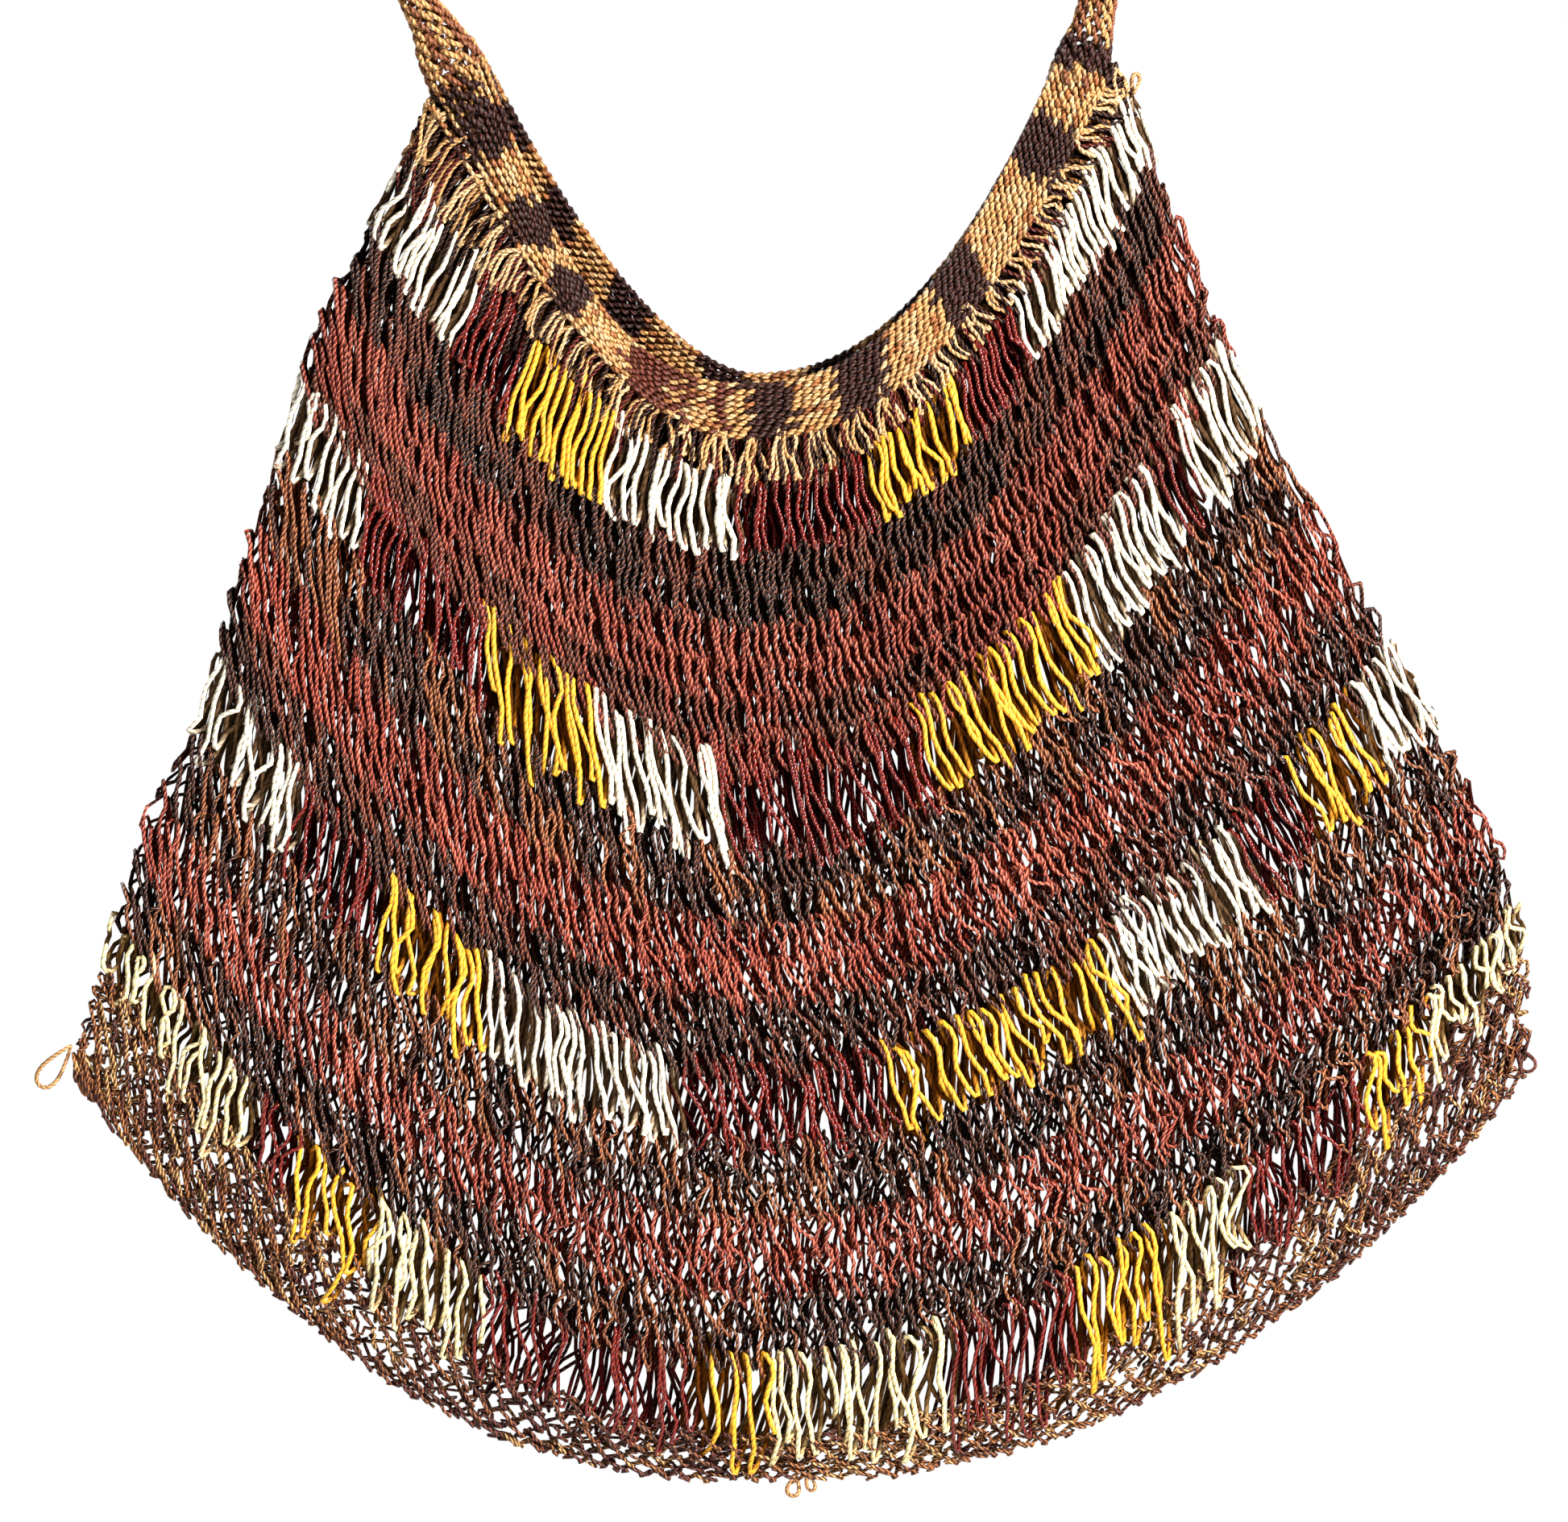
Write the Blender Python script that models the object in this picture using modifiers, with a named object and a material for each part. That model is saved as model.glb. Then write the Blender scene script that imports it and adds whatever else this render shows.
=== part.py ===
"""A bilum, a looped string bag, hanging empty by its strap.

The bag is three pieces: the looped body, the close-worked band round its mouth, and the strap
that runs from one side of the mouth to the other. Its origin is under the crown of the strap,
where a peg, a shoulder or a forehead carries it. +X is to the viewer's right, +Z is up, and the
front of the bag faces -Y. The tables are in millimetres, and MM turns them into metres.
"""

import math
from collections import namedtuple

import bmesh
import bpy

MM = 0.001

# Walls and gaps
BODY_WALL = 2.4
BAND_WALL = 3.6
SEAM_GAP = 0.7
FLATNESS = 2.4
FLUTES = 3.5
FLUTE_DEPTH = 1.3

# Wales, counted from the left side fold to the right one on one face of the bag
WALES = 36
BAR_SHARE = 0.19
BAND_ROWS = 3
LATTICE_STEP = 2

# Each line is one round of loops, as the cloth's inner face hangs. The round starts at the left
# side fold, sags to its lowest point and climbs to the right side fold. A bow is the power of
# that climb, 2 being a parabola. The back of the bag may ride a little higher than the front.
Round = namedtuple("Round", "name depth left_x left_z low_x right_x right_z bow_left bow_right "
                            "half_depth back_rise back_bow")
ROUNDS = [
    Round("rim", 384.5, -85.0, -288.0, -6.0, 85.0, -285.5, 2.55, 2.20, 9.0, 3.8, 1.68),
    Round("band_edge", 408.0, -99.3, -299.0, -4.8, 98.3, -289.3, 1.90, 2.10, 10.5, 3.0, 1.75),
    Round("first_floats", 424.8, -113.8, -328.0, -4.6, 107.6, -305.0, 2.15, 2.15, 12.0, 2.0, 2.05),
    Round("upper_body", 469.2, -134.0, -364.0, -5.3, 124.0, -348.0, 1.95, 2.10, 14.0, 0.0, 1.95),
    Round("second_floats", 512.9, -143.2, -396.0, -6.7, 139.8, -385.2, 1.75, 2.10, 15.5, 0.0, 1.75),
    Round("middle_body", 558.0, -158.0, -438.0, -4.8, 166.2, -432.0, 1.95, 1.95, 16.5, 0.0, 1.95),
    Round("third_floats", 603.1, -169.2, -480.0, -2.4, 191.6, -477.0, 2.10, 1.87, 16.5, 0.0, 2.10),
    Round("lower_body", 646.8, -187.8, -518.4, -4.8, 213.2, -517.2, 2.00, 1.95, 14.5, 0.0, 2.00),
    Round("fourth_floats", 691.7, -198.9, -559.2, -6.7, 222.8, -553.2, 1.95, 1.97, 9.5, 0.0, 1.95),
    Round("base", 707.0, -209.0, -586.5, -8.4, 224.4, -586.5, 2.20, 2.40, 1.3, 0.0, 2.20),
]

# The belts of rows that the body is worked in, down its middle. Every loop of a float belt is
# left open, every second one of the first belt, where the loops are small. In a lattice belt
# the loops near the middle are open, staggered from row to row.
Belt = namedtuple("Belt", "name bottom rows openwork first_open last_open")
BELTS = [
    Belt("join", 414.0, 1, "close", 0, 0),
    Belt("first_float_row", 434.4, 1, "alternate", 1, 34),
    Belt("upper_ground", 493.2, 4, "close", 0, 0),
    Belt("second_float_row", 524.4, 1, "every", 1, 34),
    Belt("middle_ground", 555.0, 2, "close", 0, 0),
    Belt("middle_lattice", 586.8, 2, "lattice", 17, 25),
    Belt("third_float_row", 610.8, 1, "every", 1, 34),
    Belt("lower_lattice", 657.6, 3, "lattice", 13, 24),
    Belt("lower_ground", 673.2, 1, "close", 0, 0),
    Belt("fourth_float_row", 699.6, 1, "every", 1, 34),
    Belt("foot", 707.0, 1, "close", 0, 0),
]

# The strap from its left root over the crown to its right root. It leaves each side of the mouth
# flat to the viewer and turns edge on as it climbs, so that it lies flat over what carries it.
Station = namedtuple("Station", "name x z across deep")
STRAP = [
    Station("left_root", -95.2, -289.2, 15.0, 5.0),
    Station("left_knuckle", -97.6, -286.0, 12.5, 5.2),
    Station("left_throat", -100.0, -279.5, 9.5, 6.5),
    Station("left_turn", -106.0, -269.5, 5.2, 10.0),
    Station("left_leg", -122.0, -240.0, 4.8, 11.5),
    Station("left_rise", -130.0, -190.0, 4.6, 12.0),
    Station("left_bend", -124.0, -115.0, 4.6, 12.0),
    Station("left_shoulder", -100.0, -54.0, 4.6, 12.0),
    Station("left_crown", -56.0, -12.5, 4.6, 12.5),
    Station("crown", 0.0, 2.4, 4.6, 13.0),
    Station("right_crown", 52.0, -12.5, 4.6, 12.5),
    Station("right_shoulder", 90.0, -54.0, 4.6, 12.0),
    Station("right_bend", 110.0, -115.0, 4.8, 12.0),
    Station("right_rise", 113.0, -185.0, 6.0, 11.0),
    Station("right_leg", 104.5, -242.0, 9.0, 8.0),
    Station("right_throat", 97.2, -267.5, 12.3, 5.5),
    Station("right_knuckle", 94.6, -278.2, 13.2, 5.0),
    Station("right_root", 93.5, -282.4, 13.5, 5.0),
]
STRAP_STEPS = 3
STRAP_SIDES = 12


def clear_scene():
    """Remove what a new Blender file starts with."""
    for old in list(bpy.data.objects):
        bpy.data.objects.remove(old)


def finish(name, colour, roughness):
    """A plain material in the piece's main colour."""
    material = bpy.data.materials.new(name)
    material.use_nodes = True
    shader = material.node_tree.nodes["Principled BSDF"]
    shader.inputs["Base Color"].default_value = (*colour, 1.0)
    shader.inputs["Roughness"].default_value = roughness
    shader.inputs["Metallic"].default_value = 0.0
    return material


def smooth_value(keys, values, place):
    """Read a smooth curve through the values, which stand at rising keys."""
    place = min(max(place, keys[0]), keys[-1])
    upper = 1
    while keys[upper] < place:
        upper += 1
    lower = upper - 1

    def slope(i):
        before, after = max(i - 1, 0), min(i + 1, len(keys) - 1)
        return (values[after] - values[before]) / (keys[after] - keys[before])

    span = keys[upper] - keys[lower]
    t = (place - keys[lower]) / span
    return (values[lower] * (2 * t**3 - 3 * t**2 + 1) + slope(lower) * span * (t**3 - 2 * t**2 + t)
            + values[upper] * (3 * t**2 - 2 * t**3) + slope(upper) * span * (t**3 - t**2))


def round_at(depth):
    """The round whose lowest point hangs this far under the strap's crown."""
    keys = [row.depth for row in ROUNDS]
    columns = [[row[i] for row in ROUNDS] for i in range(1, len(Round._fields))]
    return Round("between", *[smooth_value(keys, column, depth) for column in columns])


def wall_point(depth, share, facing):
    """A point of the cloth's inner face. Share runs from the left fold, 0, to the right, 1.

    Facing is -1 on the front of the bag and +1 on its back.
    """
    row = round_at(depth)
    back = facing > 0
    low_z = -depth + (row.back_rise if back else 0.0)
    bow_left = row.back_bow if back else row.bow_left
    low_share = (row.low_x - row.left_x) / (row.right_x - row.left_x)
    if share < low_share:
        climb = ((low_share - share) / low_share) ** bow_left
        z = low_z + (row.left_z - low_z) * climb
    else:
        climb = ((share - low_share) / (1.0 - low_share)) ** row.bow_right
        z = low_z + (row.right_z - low_z) * climb
    belly = (1.0 - abs(2.0 * share - 1.0) ** FLATNESS) ** 0.5
    hang = (depth - ROUNDS[0].depth) / (ROUNDS[-1].depth - ROUNDS[0].depth)
    phase = 1.1 if back else 0.0
    flute = FLUTE_DEPTH * math.sin(math.pi * hang) * math.sin(2.0 * math.pi * FLUTES * share + phase)
    y = facing * belly * (row.half_depth + flute)
    x = row.left_x + (row.right_x - row.left_x) * share
    return (x * MM, y * MM, z * MM)


def ring_points(depth):
    """One whole round: along the front from left to right, and home along the back."""
    front = [wall_point(depth, i / WALES, -1) for i in range(WALES + 1)]
    back = [wall_point(depth, i / WALES, 1) for i in range(WALES - 1, 0, -1)]
    return front + back


def loft_rounds(bm, depths):
    """Join rounds from top to bottom, and return the rings and the faces of each row."""
    rings = [[bm.verts.new(point) for point in ring_points(depth)] for depth in depths]
    rows = []
    for upper, lower in zip(rings, rings[1:]):
        count = len(upper)
        rows.append([bm.faces.new((upper[i], lower[i], lower[(i + 1) % count], upper[(i + 1) % count]))
                     for i in range(count)])
    return rings, rows


def close_foot(bm, ring):
    """Draw the front and the back of the last round together."""
    count = len(ring)
    for i in range(WALES):
        corners = [ring[i], ring[(count - i) % count], ring[count - i - 1], ring[i + 1]]
        bm.faces.new(list(dict.fromkeys(corners)))


def open_wales(belt, row):
    """The wales of this row that stay open, on both faces of the bag."""
    if belt.openwork == "close":
        return []
    step = 1 if belt.openwork == "every" else LATTICE_STEP
    first = belt.first_open + (row % LATTICE_STEP if belt.openwork == "lattice" else 0)
    front = list(range(first, belt.last_open + 1, step))
    back = [2 * WALES - 1 - wale for wale in front]
    return front + back


def cut_loops(bm, faces, bar):
    """Leave a bar of this width round each loop and open its middle."""
    bmesh.ops.inset_individual(bm, faces=faces, thickness=bar * MM, use_even_offset=True)
    bmesh.ops.delete(bm, geom=faces, context="FACES")


def cloth_object(name, bm, wall, material, collection):
    """Turn the open surface into cloth of this thickness, laid on its outer side."""
    mesh = bpy.data.meshes.new(name)
    bm.to_mesh(mesh)
    bm.free()
    cloth = bpy.data.objects.new(name, mesh)
    collection.objects.link(cloth)
    mesh.materials.append(material)
    thickness = cloth.modifiers.new("thickness", "SOLIDIFY")
    thickness.thickness = wall * MM
    thickness.offset = 1.0
    return cloth


def make_body(collection):
    """The looped body, open at its mouth and drawn together at its foot."""
    bm = bmesh.new()
    top = ROUNDS[1].depth + SEAM_GAP
    depths = [top]
    for belt in BELTS:
        start = depths[-1]
        depths += [start + (belt.bottom - start) * (i + 1) / belt.rows for i in range(belt.rows)]
    rings, rows = loft_rounds(bm, depths)
    close_foot(bm, rings[-1])
    made = 0
    for belt in BELTS:
        for row in range(belt.rows):
            here = round_at(depths[made])
            pitch = (here.right_x - here.left_x) / WALES
            faces = [rows[made][wale] for wale in open_wales(belt, row)]
            if faces:
                cut_loops(bm, faces, BAR_SHARE * pitch)
            made += 1
    cloth_object("net_body", bm, BODY_WALL, finish("body_yarn", (0.16, 0.05, 0.03), 0.85), collection)


def make_mouth_band(collection):
    """The close-worked band that stiffens the mouth."""
    bm = bmesh.new()
    top, bottom = ROUNDS[0].depth, ROUNDS[1].depth
    depths = [top + (bottom - top) * i / BAND_ROWS for i in range(BAND_ROWS + 1)]
    loft_rounds(bm, depths)
    cloth_object("mouth_band", bm, BAND_WALL, finish("band_yarn", (0.58, 0.36, 0.16), 0.85), collection)


def strap_stations():
    """Stations close together along a smooth line through those of the table."""
    keys = list(range(len(STRAP)))
    columns = [[station[i] for station in STRAP] for i in range(1, len(Station._fields))]
    count = (len(STRAP) - 1) * STRAP_STEPS
    return [Station("between", *[smooth_value(keys, column, i / STRAP_STEPS) for column in columns])
            for i in range(count + 1)]


def make_strap(collection):
    """The strap, an oval bundle that changes its section as it turns."""
    bm = bmesh.new()
    path = strap_stations()
    rings = []
    for i, here in enumerate(path):
        before, after = path[max(i - 1, 0)], path[min(i + 1, len(path) - 1)]
        run_x, run_z = after.x - before.x, after.z - before.z
        length = math.hypot(run_x, run_z)
        side_x, side_z = -run_z / length, run_x / length
        ring = []
        for k in range(STRAP_SIDES):
            turn = 2.0 * math.pi * k / STRAP_SIDES
            out = 0.5 * here.across * math.cos(turn)
            y = 0.5 * here.deep * math.sin(turn)
            ring.append(bm.verts.new(((here.x + side_x * out) * MM, y * MM, (here.z + side_z * out) * MM)))
        rings.append(ring)
    for near, far in zip(rings, rings[1:]):
        for k in range(STRAP_SIDES):
            other = (k + 1) % STRAP_SIDES
            bm.faces.new((near[k], near[other], far[other], far[k]))
    bm.faces.new(list(reversed(rings[0])))
    bm.faces.new(rings[-1])
    bmesh.ops.recalc_face_normals(bm, faces=bm.faces)
    mesh = bpy.data.meshes.new("strap")
    bm.to_mesh(mesh)
    bm.free()
    mesh.materials.append(finish("strap_yarn", (0.50, 0.30, 0.14), 0.85))
    mesh.shade_smooth()
    collection.objects.link(bpy.data.objects.new("strap", mesh))


def main():
    clear_scene()
    collection = bpy.data.collections.new("bilum_bag")
    bpy.context.scene.collection.children.link(collection)
    make_body(collection)
    make_mouth_band(collection)
    make_strap(collection)


main()
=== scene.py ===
# %% [markdown]
# A looped string bag, worked strand by strand
#
# The bag is a bilum: a net of two-ply yarn, looped round and round without a seam, with a firm
# band at its mouth and a narrow strap. Here it hangs empty, its front and back close together.
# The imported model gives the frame: a thin closed wall for the body, another for the band, and an
# oval bundle for the strap. This script lays the real yarn over them, loop by loop, so that what
# is open on the bag is open here too.
#
# The plan is the same for every part of the cloth. First comes a smooth surface to lay yarn on,
# then one loop as a short list of bends, then a round of such loops, and last a Geometry Nodes
# group that spins a tube round the path and remembers where each point lies in the twist.

# %% Load the frame
import math
from collections import namedtuple

import bpy
import numpy as np
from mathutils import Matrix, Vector


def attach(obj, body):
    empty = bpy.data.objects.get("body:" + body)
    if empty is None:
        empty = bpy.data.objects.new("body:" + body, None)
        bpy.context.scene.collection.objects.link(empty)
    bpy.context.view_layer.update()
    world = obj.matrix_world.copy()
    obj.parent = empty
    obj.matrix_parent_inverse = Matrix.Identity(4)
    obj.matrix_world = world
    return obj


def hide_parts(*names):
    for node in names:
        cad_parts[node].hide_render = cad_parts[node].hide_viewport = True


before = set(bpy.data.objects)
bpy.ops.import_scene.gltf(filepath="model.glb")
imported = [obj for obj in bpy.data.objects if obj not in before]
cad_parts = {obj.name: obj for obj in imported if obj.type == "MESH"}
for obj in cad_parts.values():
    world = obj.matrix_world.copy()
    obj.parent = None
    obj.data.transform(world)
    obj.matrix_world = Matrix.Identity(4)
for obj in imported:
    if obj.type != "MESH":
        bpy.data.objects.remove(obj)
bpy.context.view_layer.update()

print("nodes:", ", ".join(sorted(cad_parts)))

# %% [markdown]
# Looking at the bag
#
# The bag is seen face on and level, from far enough away that nothing is foreshortened. A long
# lens three metres back does that. The picture is a little wider than it is high, and the strap's
# crown stands above its top edge, so the camera is aimed at the middle of the cloth.

# %% Camera
PICTURE_WIDTH = 0.467
CAMERA_AWAY = 3.0
AIM_X, AIM_Z = 0.0031, -0.4967

camera_data = bpy.data.cameras.new("camera")
camera_data.sensor_width = 36.0
camera_data.lens = camera_data.sensor_width * CAMERA_AWAY / PICTURE_WIDTH
camera = bpy.data.objects.new("camera", camera_data)
bpy.context.scene.collection.objects.link(camera)
camera.location = (AIM_X, -CAMERA_AWAY, AIM_Z)
camera.rotation_euler = (math.radians(90.0), 0.0, 0.0)
bpy.context.scene.camera = camera
print("lens:", round(camera_data.lens), "mm")

# %% [markdown]
# The surface that the yarn lies on
#
# An empty bag hangs in a row of sagging curves: the rim sags most, and each lower round is wider
# and rounder than the last. Ten rounds, read off the hanging bag, are enough to describe it. Each
# gives the height of its lowest point under the strap's crown, where its two side folds are, how
# full it is from front to back, and how quickly it climbs to the folds. Everything between them
# is read from smooth curves, so the cloth has no steps in it.
#
# A power curve is used for the climb, because a hanging chain of loops is close to a parabola in
# the middle but is pulled straighter where the strap carries it. The numbers are millimetres.

# %% The rounds of the hanging cloth
MM = 0.001
FLATNESS = 2.4
FLUTES = 3.5
FLUTE_DEPTH = 1.3
BACK_PHASE = 1.1

Round = namedtuple("Round", "name depth left_x left_z low_x right_x right_z bow_left bow_right "
                            "half_depth back_rise back_bow")
ROUNDS = [
    Round("rim", 384.5, -85.0, -288.0, -6.0, 85.0, -285.5, 2.55, 2.20, 9.0, 3.8, 1.68),
    Round("band_edge", 408.0, -99.3, -299.0, -4.8, 98.3, -289.3, 1.90, 2.10, 10.5, 3.0, 1.75),
    Round("first_floats", 424.8, -113.8, -328.0, -4.6, 107.6, -305.0, 2.15, 2.15, 12.0, 2.0, 2.05),
    Round("upper_body", 469.2, -134.0, -364.0, -5.3, 124.0, -348.0, 1.95, 2.10, 14.0, 0.0, 1.95),
    Round("second_floats", 512.9, -143.2, -396.0, -6.7, 139.8, -385.2, 1.75, 2.10, 15.5, 0.0, 1.75),
    Round("middle_body", 558.0, -158.0, -438.0, -4.8, 166.2, -432.0, 1.95, 1.95, 16.5, 0.0, 1.95),
    Round("third_floats", 603.1, -169.2, -480.0, -2.4, 191.6, -477.0, 2.10, 1.87, 16.5, 0.0, 2.10),
    Round("lower_body", 646.8, -187.8, -518.4, -4.8, 213.2, -517.2, 2.00, 1.95, 14.5, 0.0, 2.00),
    Round("fourth_floats", 691.7, -198.9, -559.2, -6.7, 222.8, -553.2, 1.95, 1.97, 9.5, 0.0, 1.95),
    Round("base", 707.0, -209.0, -586.5, -8.4, 224.4, -586.5, 2.20, 2.40, 1.3, 0.0, 2.20),
]
ROUND_DEPTHS = [row.depth for row in ROUNDS]
print(len(ROUNDS), "rounds, from", ROUNDS[0].name, "to", ROUNDS[-1].name)


# %% Smooth reading between the rounds
def smooth(keys, values, places):
    """Read a smooth curve through the values at rising keys, at many places at once."""
    keys, values = np.asarray(keys, float), np.asarray(values, float)
    places = np.clip(places, keys[0], keys[-1])
    lower = np.clip(np.searchsorted(keys, places, side="right") - 1, 0, len(keys) - 2)
    before = np.maximum(np.arange(len(keys)) - 1, 0)
    after = np.minimum(np.arange(len(keys)) + 1, len(keys) - 1)
    slopes = (values[after] - values[before]) / (keys[after] - keys[before])
    span = keys[lower + 1] - keys[lower]
    t = (places - keys[lower]) / span
    return (values[lower] * (2 * t**3 - 3 * t**2 + 1) + slopes[lower] * span * (t**3 - 2 * t**2 + t)
            + values[lower + 1] * (3 * t**2 - 2 * t**3) + slopes[lower + 1] * span * (t**3 - t**2))


def inner_face(depth, around):
    """Points of the cloth's inner face, in metres.

    Around runs from the left fold, 0, along the front to the right fold, 1, and home along the
    back to 2. Depth is the round's own, and under the last round the cloth hangs straight on.
    """
    around = np.mod(around, 2.0)
    back = around > 1.0
    share = np.where(back, 2.0 - around, around)
    row = Round("between", *[smooth(ROUND_DEPTHS, [r[i] for r in ROUNDS], depth)
                             for i in range(1, len(Round._fields))])
    past = depth - np.clip(depth, ROUND_DEPTHS[0], ROUND_DEPTHS[-1])
    low_z = -depth + np.where(back, row.back_rise, 0.0)
    low_share = (row.low_x - row.left_x) / (row.right_x - row.left_x)
    on_left = share < low_share
    reach = np.where(on_left, (low_share - share) / low_share, (share - low_share) / (1.0 - low_share))
    bow = np.where(on_left, np.where(back, row.back_bow, row.bow_left), row.bow_right)
    side_z = np.where(on_left, row.left_z, row.right_z) - past
    z = low_z + (side_z - low_z) * np.abs(reach) ** bow
    belly = (1.0 - np.abs(2.0 * share - 1.0) ** FLATNESS) ** 0.5
    hang = np.clip((depth - ROUND_DEPTHS[0]) / (ROUND_DEPTHS[-1] - ROUND_DEPTHS[0]), 0.0, 1.0)
    phase = np.where(back, BACK_PHASE, 0.0)
    flute = FLUTE_DEPTH * np.sin(np.pi * hang) * np.sin(2.0 * np.pi * FLUTES * share + phase)
    y = np.where(back, 1.0, -1.0) * belly * (row.half_depth + flute)
    x = row.left_x + (row.right_x - row.left_x) * share
    return np.stack([x, y, z], axis=-1) * MM


def over_cloth(depth, around, lift):
    """Points this many millimetres outside the inner face, square to the cloth."""
    step_around, step_depth = 0.004, 1.0
    run = inner_face(depth, around + step_around) - inner_face(depth, around - step_around)
    fall = inner_face(depth + step_depth, around) - inner_face(depth - step_depth, around)
    outward = np.cross(fall, run)
    outward /= np.maximum(np.linalg.norm(outward, axis=-1, keepdims=True), 1e-12)
    return inner_face(depth, around) + outward * (np.asarray(lift) * MM)[..., None]


def width_at(depth):
    """The cloth's width from fold to fold, in millimetres."""
    return (smooth(ROUND_DEPTHS, [row.right_x for row in ROUNDS], depth)
            - smooth(ROUND_DEPTHS, [row.left_x for row in ROUNDS], depth))


def to_fold(around):
    """0 in the middle of the front or the back, 1 at a fold."""
    return np.abs(2.0 * np.mod(around, 1.0) - 1.0)


print("middle of the front:", over_cloth(np.array([560.0]), np.array([0.5]), np.array([0.0])).round(4))
print("width at the foot, mm:", float(width_at(707.0)))

# %% [markdown]
# One loop
#
# The stitch is hourglass looping. Each loop comes over the top, runs down in front with a slight
# S, hooks to the right at its foot, and climbs back behind to the next one. Nobody sees the whole
# loop, but its crossings give the cloth its depth, so it is described in full: across in pitches
# from loop to loop, down in row heights, and out in strand depths, where +1 is the outer side of
# the cloth and -1 the inner.
#
# Three kinds cover the body. In the close loop of the ground the climbing leg fills the space
# beside the front leg. In the long loop of the bright belts it crosses behind the next front leg,
# so that dark slits stay open between. The net loop of the foot runs down and up in a zigzag, and
# turns back on itself round the strand of the next round.

# %% The bends of a loop
Bend = namedtuple("Bend", "across down out")
CLOSE_LOOP = [
    Bend(0.00, 0.00, 0.3), Bend(0.30, 0.10, 0.9), Bend(0.34, 0.28, 1.0), Bend(0.16, 0.48, 1.0),
    Bend(0.34, 0.68, 1.0), Bend(0.56, 0.86, 1.0), Bend(0.62, 1.01, 0.5), Bend(0.96, 0.88, -0.7),
    Bend(0.92, 0.56, -1.0), Bend(0.70, 0.22, -0.9),
]
LONG_LOOP = [
    Bend(0.00, 0.00, 0.3), Bend(0.20, 0.02, 0.9), Bend(0.37, 0.14, 1.0), Bend(0.33, 0.29, 1.0),
    Bend(0.10, 0.45, 1.0), Bend(0.15, 0.61, 1.0), Bend(0.46, 0.76, 1.0), Bend(0.52, 0.90, 1.0),
    Bend(0.64, 1.00, 1.0), Bend(0.86, 1.00, 0.8), Bend(1.04, 0.92, -0.2), Bend(1.24, 0.74, -1.0),
    Bend(1.30, 0.52, -1.0), Bend(1.12, 0.30, -1.0), Bend(1.04, 0.10, -0.7),
]
NET_LOOP = [
    Bend(-0.08, 0.08, 0.6), Bend(0.12, 0.28, 0.9), Bend(0.42, 0.74, 0.9), Bend(0.59, 0.93, 0.5),
    Bend(0.50, 1.10, -0.1), Bend(0.41, 0.93, -0.6), Bend(0.58, 0.72, -0.9), Bend(0.88, 0.28, -0.8),
    Bend(1.08, 0.08, -0.3), Bend(1.00, -0.10, 0.2),
]


def loop_shape(bends, samples):
    """Samples round one loop, closest where its bends are close."""
    last = len(bends)
    keys = np.arange(-2, last + 3)
    places = np.arange(samples) * last / samples
    columns = []
    for i, whole in enumerate((1.0, 0.0, 0.0)):
        values = [bends[key % last][i] + whole * (key // last) for key in keys]
        columns.append(smooth(keys, values, places))
    return columns


print("bends in a close, a long and a net loop:", len(CLOSE_LOOP), len(LONG_LOOP), len(NET_LOOP))

# %% [markdown]
# A round of loops
#
# A course is one round of loops. It has a height, a count of loops, and a little more depth at
# the folds, where the cloth is drawn down. Hand looping is never quite even, so every loop gets
# its own small lean, length and lift, and the loops drift together and apart in slow waves. All
# of it is drawn from seeded generators.
#
# The loops also slant as one. The maker works round the bag in one direction, and each loop is
# pulled towards the next, so the strands run down and a little to the right.

# %% Yarn paths
LIE_INNER = 1.2
STRAND_DEPTH = 1.0
SLANT = 0.125
CLIMB_COUNTS = 0.75
LOOP_WANDER, LOOP_DRIFT, DRIFT_LOOPS = 0.15, 0.8, 4
LENGTH_SPREAD, BULGE_SPREAD = 0.06, 0.22
HEIGHT_SPREAD, LIFT_SPREAD = 0.8, 0.2
LEAST_PITCH = 0.5

Course = namedtuple("Course", "top bottom fold_top fold_bottom front back")
Path = namedtuple("Path", "points dye radius along inner closed")


def yarn_length(points):
    """Metres of yarn from the start to each point."""
    steps = np.linalg.norm(np.diff(points, axis=0), axis=1)
    return np.concatenate([[0.0], np.cumsum(steps)])


def per_loop(values, samples):
    """One value a loop, eased along the yarn to the next loop's."""
    t = np.tile(np.arange(samples) / samples, len(values))
    here = np.repeat(values, samples)
    after = np.repeat(np.roll(values, -1), samples)
    return here + (after - here) * t


def slow_wave(draw, count, wave):
    """A slow noise along a row, between 0 and 1."""
    coarse = draw.uniform(0.0, 1.0, count // wave + 3)
    return smooth(np.arange(len(coarse)), coarse, np.arange(count) / wave)


def around_at(course, place):
    """Where a place counted in loops lies round the bag.

    On the steep sides the loops stand closer, but not quite as close as even steps along the round
    would put them, because there they hang across it at a slant.
    """
    halves = []
    for first, count in ((0.0, course.front), (1.0, course.back)):
        around = np.linspace(first + 1e-4, first + 1.0 - 1e-4, 201)
        line = inner_face(np.full(len(around), course.top), around)
        length = yarn_length(line * (1.0, 1.0, CLIMB_COUNTS))
        halves.append((around, count * length / length[-1]))
    (front_at, front), (back_at, back) = halves
    total = course.front + course.back
    keys = np.concatenate([back - course.back, front, back + course.front, front + total])
    return np.interp(place, keys, np.concatenate([back_at - 2.0, front_at, back_at, front_at + 2.0]))


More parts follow.
